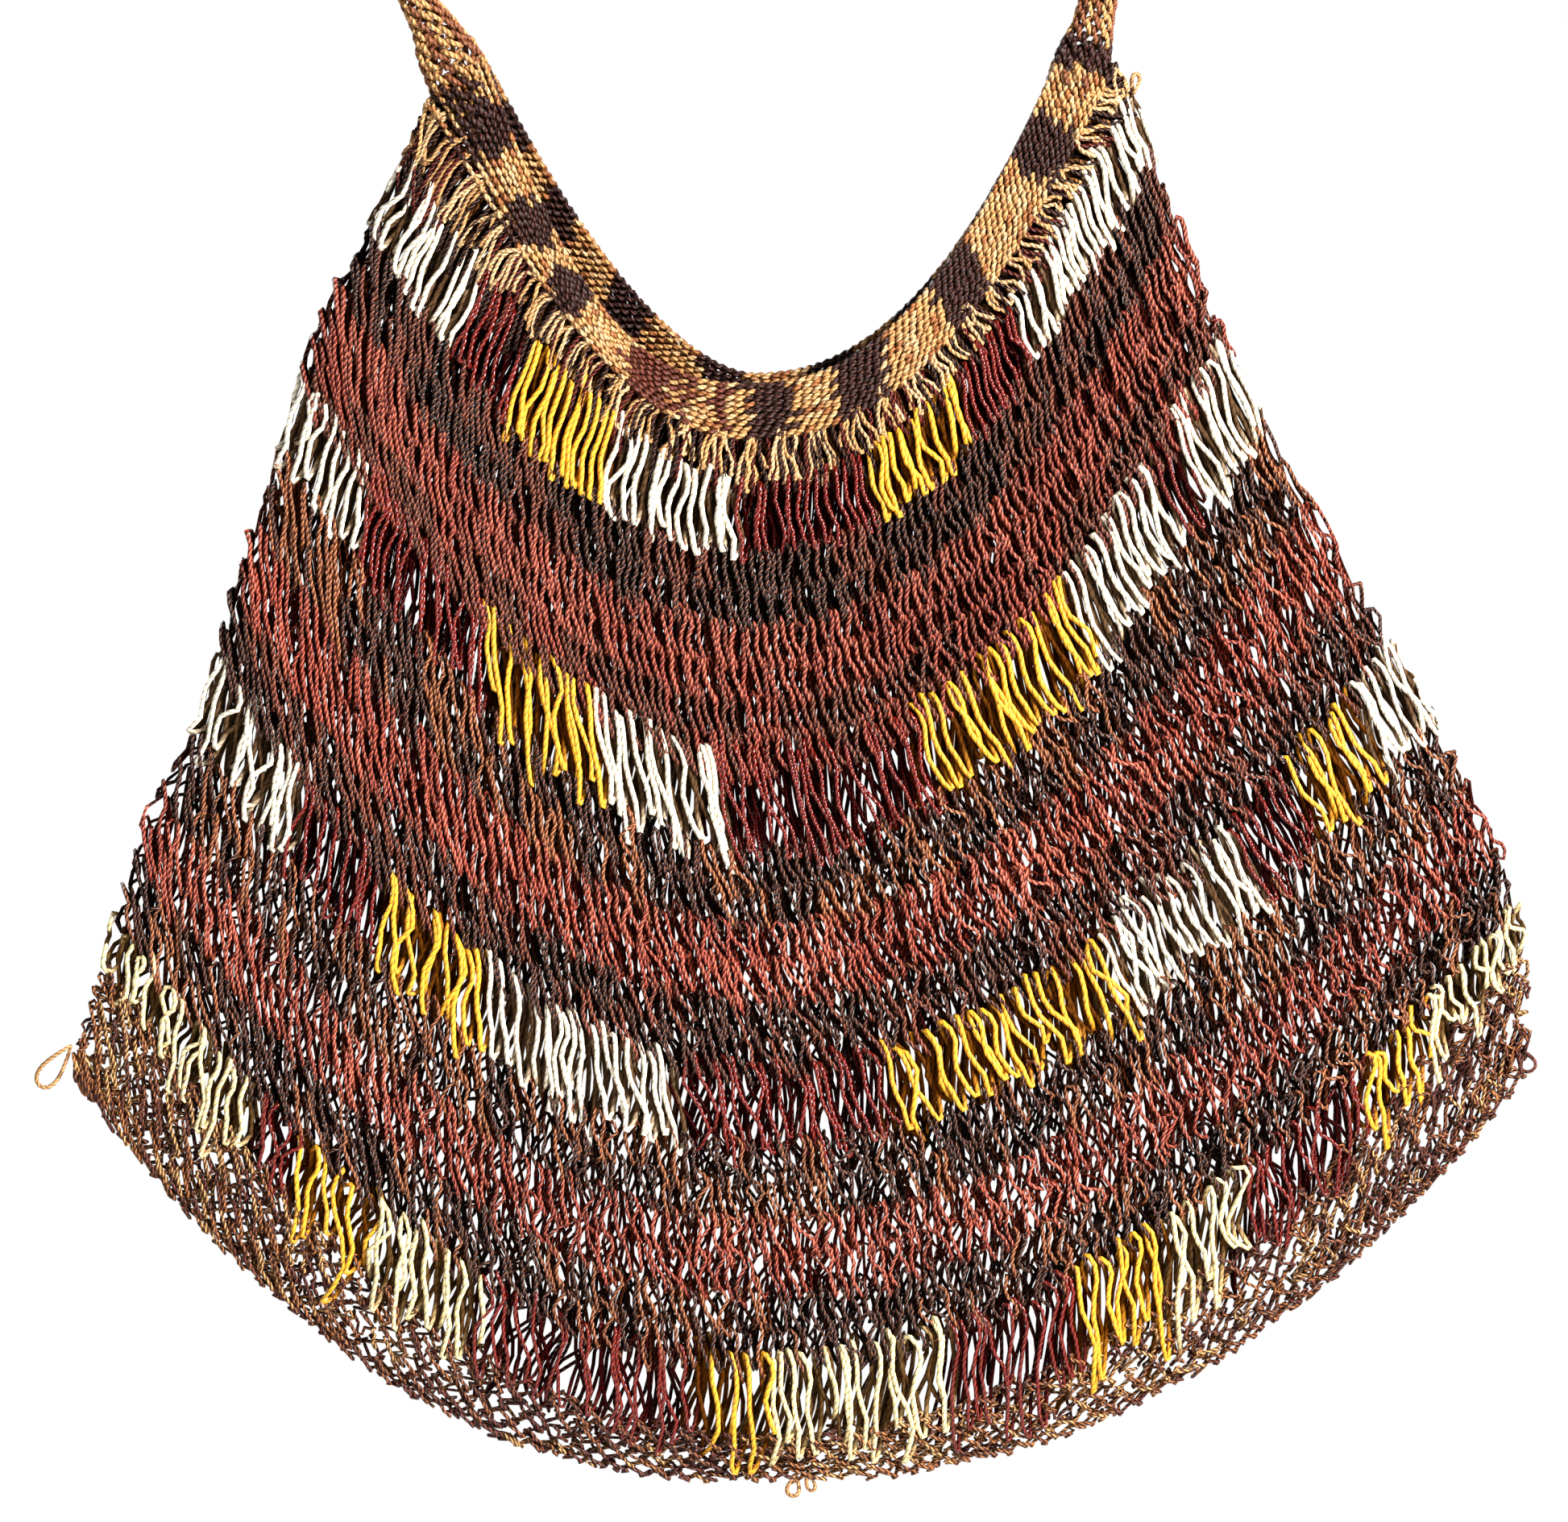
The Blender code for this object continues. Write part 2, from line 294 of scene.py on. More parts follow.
def looped_round(course, bends, samples, seed, unevenness=1.0, slant=SLANT, splay=0.0, gather=None,
                 back_bends=None, offset=0.0, turned=0.0, fold_lean=0.0, lie=LIE_INNER):
    """The yarn through one round: its points, each loop's number, and how far inside it lies."""
    draw = np.random.default_rng(seed)
    count = course.front + course.back
    loop = np.repeat(np.arange(count), samples)
    front = [np.tile(column, count) for column in loop_shape(bends, samples)]
    back = [np.tile(column, count) for column in loop_shape(back_bends or bends, samples)]
    on_front = loop < course.front
    across, down, out = [np.where(on_front, f, b) for f, b in zip(front, back)]
    out = np.where(draw.uniform(0.0, 1.0, count)[loop] < turned, -out, out)
    wander = draw.normal(0.0, LOOP_WANDER, count) + LOOP_DRIFT * (slow_wave(draw, count, DRIFT_LOOPS) - 0.5)
    longer = 1.0 + draw.normal(0.0, LENGTH_SPREAD, count)[loop] * unevenness
    higher = per_loop(draw.normal(0.0, HEIGHT_SPREAD, count) * unevenness, samples)
    lift = per_loop(draw.normal(0.0, LIFT_SPREAD, count) * unevenness, samples)
    bulge = draw.normal(0.0, BULGE_SPREAD, count)[loop] * np.sin(2.0 * np.pi * down) * unevenness
    bulge += draw.normal(0.0, BULGE_SPREAD, count)[loop] * (down - 0.5) * unevenness
    place = loop + offset + across + per_loop(wander * unevenness, samples) + bulge
    aside = to_fold(around_at(course, place)) ** 2
    top = course.top + course.fold_top * aside
    height = course.bottom + course.fold_bottom * aside - top
    pitch = width_at(course.top) * np.abs(around_at(course, place + 0.5) - around_at(course, place - 0.5))
    pitch = np.maximum(pitch, LEAST_PITCH)
    outward = 2.0 * np.mod(around_at(course, loop + 0.5), 1.0) - 1.0
    place = place + (slant + splay * outward + fold_lean * aside) * height / pitch * down
    if gather is not None:
        place = place + gather(loop) * (1.0 - down)
    points = over_cloth(top + higher + height * down * longer, around_at(course, place),
                        lie + STRAND_DEPTH * (out + lift))
    return points, loop, np.clip(0.5 - 0.5 * out, 0.0, 1.0)


def shares_of(course):
    """Where each loop lies between the folds, the same on the front and on the back."""
    around = around_at(course, np.arange(course.front + course.back) + 0.5)
    return np.where(around > 1.0, 2.0 - around, around)


print("slant of the strands:", round(math.degrees(math.atan(SLANT)), 1), "degrees and their own S")

# %% [markdown]
# Spinning the yarn
#
# A path becomes yarn in Geometry Nodes. Curve to Mesh sweeps a small circle along it, and the
# circle carries its own x and y as attributes. With those and the length along the yarn, a
# material can tell where each point is in the twist, and draw two plies that wind round each
# other. Modelling both plies would double the faces for a detail of half a millimetre.
#
# The alternative, a curve object with a bevel, can't carry a dye and a thickness for each point,
# which this yarn needs because its colour changes within a round.

# %% The spinner
THIN_SIDES, THICK_SIDES = 4, 5


def add_node(tree, kind, **settings):
    """Add a node and set its plain properties."""
    node = tree.nodes.new(kind)
    for name, value in settings.items():
        setattr(node, name, value)
    return node


def spinner(sides):
    """A node group that turns guide edges into yarn with this many sides."""
    tree = bpy.data.node_groups.new(f"spin_{sides}", "GeometryNodeTree")
    tree.interface.new_socket(name="Geometry", in_out="INPUT", socket_type="NodeSocketGeometry")
    tree.interface.new_socket(name="Geometry", in_out="OUTPUT", socket_type="NodeSocketGeometry")
    start = add_node(tree, "NodeGroupInput")
    end = add_node(tree, "NodeGroupOutput")
    course = add_node(tree, "GeometryNodeMeshToCurve")
    circle = add_node(tree, "GeometryNodeCurvePrimitiveCircle")
    circle.inputs["Resolution"].default_value = sides
    circle.inputs["Radius"].default_value = 1.0
    place = add_node(tree, "GeometryNodeInputPosition")
    parts = add_node(tree, "ShaderNodeSeparateXYZ")
    tree.links.new(place.outputs["Position"], parts.inputs["Vector"])
    profile = circle.outputs["Curve"]
    for name, axis in (("round_x", "X"), ("round_y", "Y")):
        store = add_node(tree, "GeometryNodeStoreNamedAttribute", data_type="FLOAT", domain="POINT")
        store.inputs["Name"].default_value = name
        tree.links.new(profile, store.inputs["Geometry"])
        tree.links.new(parts.outputs[axis], store.inputs["Value"])
        profile = store.outputs["Geometry"]
    thick = add_node(tree, "GeometryNodeInputNamedAttribute", data_type="FLOAT")
    thick.inputs["Name"].default_value = "thick"
    sweep = add_node(tree, "GeometryNodeCurveToMesh")
    sweep.inputs["Fill Caps"].default_value = True
    tree.links.new(start.outputs["Geometry"], course.inputs["Mesh"])
    tree.links.new(course.outputs["Curve"], sweep.inputs["Curve"])
    tree.links.new(profile, sweep.inputs["Profile Curve"])
    tree.links.new(thick.outputs["Attribute"], sweep.inputs["Scale"])
    tree.links.new(sweep.outputs["Mesh"], end.inputs["Geometry"])
    return tree


SPINNERS = {sides: spinner(sides) for sides in (THIN_SIDES, THICK_SIDES)}


def guide_mesh(name, paths):
    """The paths as bare edges, with what the yarn has to remember at each point."""
    mesh = bpy.data.meshes.new(name)
    points = np.concatenate([path.points for path in paths])
    edges, first = [], 0
    for path in paths:
        chain = np.arange(first, first + len(path.points))
        pairs = np.stack([chain, np.roll(chain, -1)], axis=1)
        edges.append(pairs if path.closed else pairs[:-1])
        first += len(chain)
    mesh.from_pydata(points, np.concatenate(edges).tolist(), [])
    colours = np.ones((len(points), 4))
    colours[:, :3] = np.concatenate([path.dye for path in paths])
    mesh.attributes.new("dye", "FLOAT_COLOR", "POINT").data.foreach_set("color", colours.ravel())
    # inner is how far inside the cloth a point lies; the materials turn it into painted shade.
    for key, values in (("thick", [path.radius for path in paths]),
                        ("along", [path.along for path in paths]),
                        ("inner", [path.inner for path in paths])):
        mesh.attributes.new(key, "FLOAT", "POINT").data.foreach_set("value", np.concatenate(values))
    return mesh


def spin(name, paths, material, sides=THIN_SIDES):
    """Yarn along the paths, as one piece of plain mesh."""
    guide = bpy.data.objects.new(name + "_guide", guide_mesh(name + "_guide", paths))
    bpy.context.scene.collection.objects.link(guide)
    guide.modifiers.new("spin", "NODES").node_group = SPINNERS[sides]
    graph = bpy.context.evaluated_depsgraph_get()
    mesh = bpy.data.meshes.new_from_object(guide.evaluated_get(graph))
    bpy.data.objects.remove(guide)
    mesh.name = name
    mesh.shade_smooth()
    mesh.materials.clear()
    mesh.materials.append(material)
    yarn = bpy.data.objects.new(name, mesh)
    bpy.context.scene.collection.objects.link(yarn)
    triangles = sum(len(face.vertices) - 2 for face in mesh.polygons)
    metres = sum(path.along[-1] for path in paths)
    print(f"{name}: {len(paths)} lengths, {metres:.1f} m, {triangles} triangles")
    return yarn


def dress(piece, node):
    """Hand the piece to the frame: what it rides on and what it stands for."""
    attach(piece, "root")
    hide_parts(node)


# %% [markdown]
# Dyes and fibres
#
# The ground yarn is bast fibre, rolled on the thigh into two hard plies. Each ply catches the
# light along its crest and goes nearly black in the groove between them, and it is this that
# makes dark yarn sparkle. Besides the bump, the colour carries it too: a painted shade in the
# groove and a painted highlight, a pale glint, on the sharpest crests. The cream and yellow yarn
# is softer, with two fine dark lines wound round it, and the oxblood yarn is glossy, with the same
# painted shade and highlight. The dye comes from the yarn's own attribute: the material asks how
# far the point is round the yarn and along it, and works out the twist.
#
# Yarn that lies inside the cloth gets hardly any light. The path tracer finds much of that, and on
# top of it each dye is darkened with painted shade, and its gloss lowered, where the yarn runs in
# or faces the middle of the bag.

# %% Colours, as they look in daylight
def daylight(red, green, blue):
    """A colour as the eye sees it, 0 to 255, turned into the linear values that a shader needs."""
    return tuple((value / 255.0) ** 2.2 for value in (red, green, blue))


DYES = {
    "tan": daylight(228, 174, 112),
    "pale tan": daylight(240, 200, 146),
    "deep tan": daylight(176, 112, 62),
    "black brown": daylight(60, 29, 23),
    "brown": daylight(112, 54, 38),
    "warm brown": daylight(152, 92, 58),
    "russet": daylight(156, 62, 48),
    "rose russet": daylight(190, 92, 74),
    "oxblood": daylight(118, 18, 10),
    "cream": daylight(252, 243, 220),
    "straw": daylight(244, 226, 168),
    "yellow": daylight(247, 178, 46),
}
# The pale colour of the painted highlight on the crests of hard fibre.
PAINTED_GLINT = daylight(220, 156, 122)


# %% The twist, as shader nodes
def link_math(tree, operation, *values):
    """A Math node with numbers or sockets as its inputs."""
    node = add_node(tree, "ShaderNodeMath", operation=operation)
    for socket, value in zip(node.inputs, values):
        if isinstance(value, (int, float)):
            socket.default_value = value
        else:
            tree.links.new(value, socket)
    return node.outputs["Value"]


def read_attribute(tree, name, output="Fac"):
    return add_node(tree, "ShaderNodeAttribute", attribute_name=name).outputs[output]


def twist_height(tree, plies, turn_length):
    """How proud the plies stand at each point, from 0 in a groove to 1 on a crest."""
    angle = link_math(tree, "ARCTAN2", read_attribute(tree, "round_y"), read_attribute(tree, "round_x"))
    wound = link_math(tree, "MULTIPLY", read_attribute(tree, "along"), 2.0 * math.pi / turn_length)
    phase = link_math(tree, "MULTIPLY", link_math(tree, "SUBTRACT", angle, wound), float(plies))
    return link_math(tree, "MULTIPLY_ADD", link_math(tree, "COSINE", phase), 0.5, 0.5)


def fibre_noise(tree, stretch, scale):
    """Fine streaks that run with the yarn."""
    where = add_node(tree, "ShaderNodeCombineXYZ")
    tree.links.new(read_attribute(tree, "round_x"), where.inputs["X"])
    tree.links.new(read_attribute(tree, "round_y"), where.inputs["Y"])
    tree.links.new(link_math(tree, "MULTIPLY", read_attribute(tree, "along"), stretch), where.inputs["Z"])
    noise = add_node(tree, "ShaderNodeTexNoise")
    noise.inputs["Scale"].default_value = scale
    noise.inputs["Detail"].default_value = 3.0
    tree.links.new(where.outputs["Vector"], noise.inputs["Vector"])
    return noise.outputs["Fac"]


def shade_dye(tree, brightness):
    """The dye attribute at this brightness, which carries the painted shade. Where it is dark it is warmer,
    as if lit by the yarn around it.
    """
    shade = add_node(tree, "ShaderNodeCombineXYZ")
    for axis, power in (("X", 0.85), ("Y", 1.05), ("Z", 1.25)):
        tree.links.new(link_math(tree, "POWER", brightness, power), shade.inputs[axis])
    product = add_node(tree, "ShaderNodeVectorMath", operation="MULTIPLY")
    tree.links.new(read_attribute(tree, "dye", "Color"), product.inputs[0])
    tree.links.new(shade.outputs["Vector"], product.inputs[1])
    return product.outputs["Vector"]


def toward_painted_glint(tree, colour, share):
    """The colour, turned towards a pale painted highlight by this share."""
    mix = add_node(tree, "ShaderNodeMix", data_type="RGBA")
    tree.links.new(share, mix.inputs["Factor"])
    tree.links.new(colour, next(s for s in mix.inputs if s.name == "A" and s.type == "RGBA"))
    next(s for s in mix.inputs if s.name == "B" and s.type == "RGBA").default_value = (*PAINTED_GLINT, 1.0)
    return next(s for s in mix.outputs if s.type == "RGBA")


def painted_inside_shade(tree, painted_inner_shade, turned):
    """Painted shade: 1 on the outer side of the cloth, falling to the given darkness inside it.

    Yarn that faces the middle of the bag counts as inside by the share in turned.
    """
    place = add_node(tree, "ShaderNodeSeparateXYZ")
    tree.links.new(add_node(tree, "ShaderNodeTexCoord").outputs["Object"], place.inputs["Vector"])
    facing = add_node(tree, "ShaderNodeSeparateXYZ")
    tree.links.new(add_node(tree, "ShaderNodeNewGeometry").outputs["Normal"], facing.inputs["Vector"])
    outward = link_math(tree, "MULTIPLY", link_math(tree, "SIGN", place.outputs["Y"]), facing.outputs["Y"])
    turned_in = link_math(tree, "MULTIPLY_ADD", outward, -1.2 * turned, 0.25 * turned)
    hidden = link_math(tree, "MAXIMUM", turned_in, read_attribute(tree, "inner"))
    hidden = link_math(tree, "MINIMUM", hidden, 1.0)
    return link_math(tree, "MULTIPLY_ADD", hidden, painted_inner_shade - 1.0, 1.0)


def new_yarn_material(name, roughness):
    material = bpy.data.materials.new(name)
    material.use_nodes = True
    shader = material.node_tree.nodes["Principled BSDF"]
    shader.inputs["Roughness"].default_value = roughness
    return material, material.node_tree, shader


def dull_inside(tree, shader, shade, gloss):
    """Less gloss where painted shade darkens the yarn inside the cloth."""
    tree.links.new(link_math(tree, "MULTIPLY", shade, gloss), shader.inputs["Specular IOR Level"])


def raise_bump(tree, shader, height, relief):
    bump = add_node(tree, "ShaderNodeBump")
    bump.inputs["Strength"].default_value = 1.0
    bump.inputs["Distance"].default_value = relief * MM
    tree.links.new(height, bump.inputs["Height"])
    tree.links.new(bump.outputs["Normal"], shader.inputs["Normal"])


def plied_material(name, turn_length, groove, painted_glint, relief, roughness, painted_inner_shade, turned=1.0):
    """Two hard plies: painted shade in the groove between them, and a painted highlight where a crest
    catches the light.
    """
    material, tree, shader = new_yarn_material(name, roughness)
    height = twist_height(tree, 2, turn_length)
    streaks = fibre_noise(tree, 1200.0, 1.6)
    # Painted shade in the groove between the plies, full dye on the crest.
    crest = link_math(tree, "POWER", height, 1.6)
    painted_ply_light = link_math(tree, "MULTIPLY_ADD", crest, 1.0 - groove, groove)
    mottle = link_math(tree, "MULTIPLY_ADD", streaks, 0.9, 0.55)
    shaded = link_math(tree, "MULTIPLY", painted_ply_light, mottle)
    # Painted shade inside the cloth, with the gloss lowered to match.
    inside = painted_inside_shade(tree, painted_inner_shade, turned)
    dull_inside(tree, shader, inside, 0.4)
    brightness = link_math(tree, "MULTIPLY", shaded, inside)
    # A painted highlight: a pale glint on the sharpest crests, on the outer side only.
    painted_spark = link_math(tree, "MULTIPLY", link_math(tree, "POWER", height, 9.0), streaks)
    outside = link_math(tree, "SUBTRACT", 1.0, read_attribute(tree, "inner"))
    painted_spark = link_math(tree, "MULTIPLY", link_math(tree, "MULTIPLY", painted_spark, painted_glint), outside)
    colour = toward_painted_glint(tree, shade_dye(tree, brightness), painted_spark)
    tree.links.new(colour, shader.inputs["Base Color"])
    raise_bump(tree, shader, link_math(tree, "MULTIPLY_ADD", streaks, 0.25, height), relief)
    return material


def wrapped_material(name, turn_length, line_dark, relief, roughness, painted_inner_shade):
    """Soft yarn with two fine dark lines wound round it."""
    material, tree, shader = new_yarn_material(name, roughness)
    line = link_math(tree, "POWER", twist_height(tree, 2, turn_length), 7.0)
    streaks = fibre_noise(tree, 700.0, 2.2)
    line_light = link_math(tree, "MULTIPLY_ADD", line, -line_dark, 1.0)
    mottle = link_math(tree, "MULTIPLY_ADD", streaks, 0.30, 0.86)
    shaded = link_math(tree, "MULTIPLY", line_light, mottle)
    # Painted shade inside the cloth, with the gloss lowered to match.
    inside = painted_inside_shade(tree, painted_inner_shade, 1.0)
    dull_inside(tree, shader, inside, 0.4)
    brightness = link_math(tree, "MULTIPLY", shaded, inside)
    tree.links.new(shade_dye(tree, brightness), shader.inputs["Base Color"])
    sunk = link_math(tree, "MULTIPLY_ADD", line, -1.0, streaks)
    raise_bump(tree, shader, sunk, relief)
    return material


BAST = plied_material("bast_yarn", 4.0 * MM, 0.14, 0.60, 0.40, 0.45, 0.10)
NET_BAST = plied_material("net_bast_yarn", 4.0 * MM, 0.05, 0.15, 0.40, 0.50, 0.30, 0.25)
BAND_BAST = plied_material("band_bast_yarn", 3.4 * MM, 0.46, 0.16, 0.30, 0.55, 0.30, 0.25)
FAN_BAST = plied_material("fan_bast_yarn", 3.4 * MM, 0.42, 0.15, 0.30, 0.55, 0.12)
WRAPPED = wrapped_material("wrapped_yarn", 5.0 * MM, 0.62, 0.12, 0.50, 0.06)
GLOSSY = plied_material("glossy_yarn", 4.2 * MM, 0.40, 0.28, 0.15, 0.25, 0.10)
print("yarn materials:", [m.name for m in (BAST, NET_BAST, BAND_BAST, FAN_BAST, WRAPPED, GLOSSY)])

# %% [markdown]
# The ground
#
# Between the bright belts the cloth is worked in rounds of dark brown and russet. A maker spins
# the yarn in batches, so a round keeps to one dye for a while, with a few loops of a neighbouring
# shade where the batches mix. The count of loops grows from belt to belt as the bag widens. The
# middle and lower ground, stretched and rubbed more, are thinner, less even and a little faded.

# %% The ground rounds
Ground = namedtuple("Ground", "name top pairs front back main stray stray_share")
GROUND = [
    Ground("upper_dark", 433.0, 2, 120, 136, "black brown", "brown", 0.45),
    Ground("upper_russet", 455.0, 2, 120, 136, "russet", "rose russet", 0.45),
    Ground("upper_foot", 477.0, 2, 120, 136, "brown", "russet", 0.45),
    Ground("middle_dark", 522.0, 2, 128, 134, "black brown", "warm brown", 0.50),
    Ground("middle_russet", 544.0, 2, 128, 134, "russet", "rose russet", 0.40),
    Ground("middle_foot", 566.0, 2, 128, 134, "black brown", "brown", 0.45),
    Ground("lower_dark", 609.0, 2, 134, 138, "black brown", "warm brown", 0.45),
    Ground("lower_russet", 631.0, 2, 134, 138, "russet", "rose russet", 0.40),
    Ground("lower_foot", 653.0, 2, 134, 138, "black brown", "warm brown", 0.35),
]
GROUND_STEP, GROUND_HEIGHT = 11.0, 14.5
Feel = namedtuple("Feel", "radius unevenness tone")
GROUND_FEEL = {"upper": Feel(0.76 * MM, 1.0, 1.0), "middle": Feel(0.66 * MM, 1.35, 1.45),
               "lower": Feel(0.61 * MM, 1.5, 1.3)}
GROUND_SAMPLES = 10


def ground_path(top, row, seed):
    course = Course(top, top + GROUND_HEIGHT, 0.0, 0.0, row.front, row.back)
    feel = GROUND_FEEL[row.name.split("_")[0]]
    points, loop, inner = looped_round(course, CLOSE_LOOP, GROUND_SAMPLES, seed, feel.unevenness,
                                       splay=-0.16, turned=0.15)
    draw = np.random.default_rng(seed + 500)
    count = row.front + row.back
    mix = 0.5 * slow_wave(draw, count, 5) + 0.5 * draw.uniform(0.0, 1.0, count)
    stray = mix < 0.25 + 0.5 * row.stray_share
    dye = np.where(stray[:, None], DYES[row.stray], DYES[row.main])
    dye = dye * draw.uniform(0.7, 1.3, (count, 1)) * feel.tone
    return Path(points, dye[loop], np.full(len(points), feel.radius), yarn_length(points), inner, True)


for belt in ("upper", "middle", "lower"):
    paths = [ground_path(row.top + GROUND_STEP * i, row, 10 + 10 * number + i)
             for number, row in enumerate(GROUND) if row.name.startswith(belt) for i in range(row.pairs)]
    dress(spin(f"{belt}_ground", paths, BAST), "net_body")

# %% [markdown]
# The floats
#
# Four rounds are worked in thick bright yarn, in blocks of cream, yellow and oxblood. They are
# the same loops as the ground's, only longer and slacker. Each block is its own length of yarn,
# so each colour becomes one piece made of many lengths.

# %% The float rounds
Block = namedtuple("Block", "end colour")
Belt = namedtuple("Belt", "course slack cream blocks")
BELTS = [
    Belt(Course(413.0, 436.0, 5.0, 0.0, 108, 156), 1.15, "cream", [
        Block(0.098, "cream"), Block(0.170, "oxblood"), Block(0.287, "yellow"), Block(0.449, "cream"),
        Block(0.638, "oxblood"), Block(0.760, "yellow"), Block(0.845, "oxblood"), Block(1.0, "cream")]),
    Belt(Course(493.0, 526.0, 0.0, -3.0, 112, 144), 1.4, "cream", [
        Block(0.068, "cream"), Block(0.210, "oxblood"), Block(0.318, "yellow"), Block(0.443, "cream"),
        Block(0.664, "oxblood"), Block(0.830, "yellow"), Block(0.919, "cream"), Block(0.94, "oxblood"),
        Block(1.0, "cream")]),
    Belt(Course(585.5, 612.5, 0.0, 0.0, 120, 146), 1.6, "cream", [
        Block(0.075, "cream"), Block(0.147, "oxblood"), Block(0.236, "yellow"), Block(0.392, "cream"),
        Block(0.569, "oxblood"), Block(0.748, "yellow"), Block(0.860, "cream"), Block(0.911, "oxblood"),
        Block(0.959, "yellow"), Block(1.0, "cream")]),
    Belt(Course(672.0, 701.0, 5.0, -9.0, 124, 138), 1.8, "straw", [
        Block(0.100, "cream"), Block(0.137, "oxblood"), Block(0.182, "yellow"), Block(0.266, "cream"),
        Block(0.418, "oxblood"), Block(0.463, "yellow"), Block(0.590, "cream"), Block(0.683, "oxblood"),
        Block(0.750, "yellow"), Block(0.798, "cream"), Block(0.886, "oxblood"), Block(0.931, "yellow"),
        Block(1.0, "cream")]),
]
FLOAT_RADIUS = {"cream": 0.88 * MM, "yellow": 0.88 * MM, "oxblood": 0.70 * MM}
FLOAT_SAMPLES = 15


def block_colours(belt):
    """The colour of every loop of a round, from the block that it falls in."""
    ends = np.array([block.end for block in belt.blocks])
    return [belt.blocks[i].colour for i in np.searchsorted(ends, shares_of(belt.course))]


def float_runs(belt, seed):
    """The round, cut into lengths of one colour each."""
    count = belt.course.front + belt.course.back
    points, loop, inner = looped_round(belt.course, LONG_LOOP, FLOAT_SAMPLES, seed, belt.slack,
                                       fold_lean=-0.18, back_bends=CLOSE_LOOP, turned=0.14 * belt.slack)
    colours = block_colours(belt)
    draw = np.random.default_rng(seed + 500)
    tone = draw.uniform(0.85, 1.08, count)
    starts = [i for i in range(count) if i == 0 or colours[i] != colours[i - 1]]
    runs = []
    for first, after in zip(starts, starts[1:] + [count]):
        part = slice(first * FLOAT_SAMPLES, min(after * FLOAT_SAMPLES + 1, len(points)))
        colour = colours[first]
        dye = np.array(DYES[belt.cream if colour == "cream" else colour]) * tone[loop[part], None]
        radius = np.full(len(dye), FLOAT_RADIUS[colour] * (1.15 - 0.15 * belt.slack))
        runs.append((colour, Path(points[part], dye, radius, yarn_length(points[part]), inner[part], False)))
    return runs


float_yarn = {"cream": [], "yellow": [], "oxblood": []}
for i, belt in enumerate(BELTS):
    for colour, path in float_runs(belt, 40 + i):
        float_yarn[colour].append(path)
for colour, paths in float_yarn.items():
    material = GLOSSY if colour == "oxblood" else WRAPPED
    dress(spin(f"{colour}_floats", paths, material, THICK_SIDES), "net_body")

# %% [markdown]
# The fans under the band, and the foot
#
# The tan band is joined to the body by one round whose loops are drawn together at their tops in
# fives, so that they spread downwards like small tents and leave holes between. Behind them lies a
# round of dark yarn, darkened further with painted shade, which makes the holes dark.
# At the other end the bag starts with six rounds of open net in brown and tan yarn. The lowest of
# them lies in the middle, between the front and the back, and closes the foot. Short rounds laid
# in between thicken the two corners, the left one most.

# %% Fans and foot
FAN_COURSE = Course(399.5, 414.0, 9.5, 4.0, 132, 150)
FAN_RADIUS = 0.72 * MM
FAN_SIZE, FAN_PULL = 5.0, 0.62
BEHIND_FANS = Course(400.0, 418.0, 9.5, 5.0, 112, 136)
NET_ROWS = 6
NET_TOP, NET_FOOT, NET_RISE = 696.5, 711.0, -7.0
NET_LOOPS = (74, 72)
NET_SAMPLES = 10
LEFT_FOLD, RIGHT_FOLD = 0, NET_LOOPS[0]
SHORT_ROUNDS = [(0.5, LEFT_FOLD), (1.5, LEFT_FOLD), (2.5, LEFT_FOLD), (3.5, LEFT_FOLD), (4.3, LEFT_FOLD),
                (1.5, RIGHT_FOLD), (3.5, RIGHT_FOLD)]
SHORT_REACH = 14
NET_RADIUS = 0.60 * MM
NET_LIE = [1.2, 1.2, 1.1, 0.8, 0.1, -0.9]
PALE_SHARE = ([0.0, 0.08, 0.20, 0.44, 0.50, 0.70, 0.85, 1.0], [0.7, 0.6, 0.3, 0.1, 0.85, 0.7, 0.3, 0.2])


def fan_gather(loop):
    """How far, in pitches, a loop's top is drawn to the middle of its fan."""
    middle = (np.floor(loop / FAN_SIZE) + 0.5) * FAN_SIZE
    return FAN_PULL * (middle - loop)


def plain_round(course, bends, samples, seed, main, stray, stray_share, radius, **extra):
    """A closed round in one dye, with some loops in another."""
    points, loop, inner = looped_round(course, bends, samples, seed, **extra)
    draw = np.random.default_rng(seed + 500)
    count = course.front + course.back
    odd = draw.uniform(0.0, 1.0, count) < stray_share
    dye = np.where(odd[:, None], DYES[stray], DYES[main]) * draw.uniform(0.8, 1.2, (count, 1))
    return Path(points, dye[loop], np.full(len(points), radius), yarn_length(points), inner, True)


behind = plain_round(BEHIND_FANS, CLOSE_LOOP, 12, 62, "oxblood", "black brown", 0.6, FAN_RADIUS, splay=0.3)
# Painted shade: the round's inner share is raised, so that all of it is darkened.
behind = behind._replace(inner=0.5 + 0.5 * behind.inner)
dress(spin("round_behind_fans", [behind], BAST), "net_body")
fan = plain_round(FAN_COURSE, LONG_LOOP, 15, 60, "tan", "pale tan", 0.5, FAN_RADIUS,
                  unevenness=1.4, slant=0.05, splay=0.30, gather=fan_gather, back_bends=CLOSE_LOOP)
dress(spin("fan_round", [fan], FAN_BAST), "net_body")


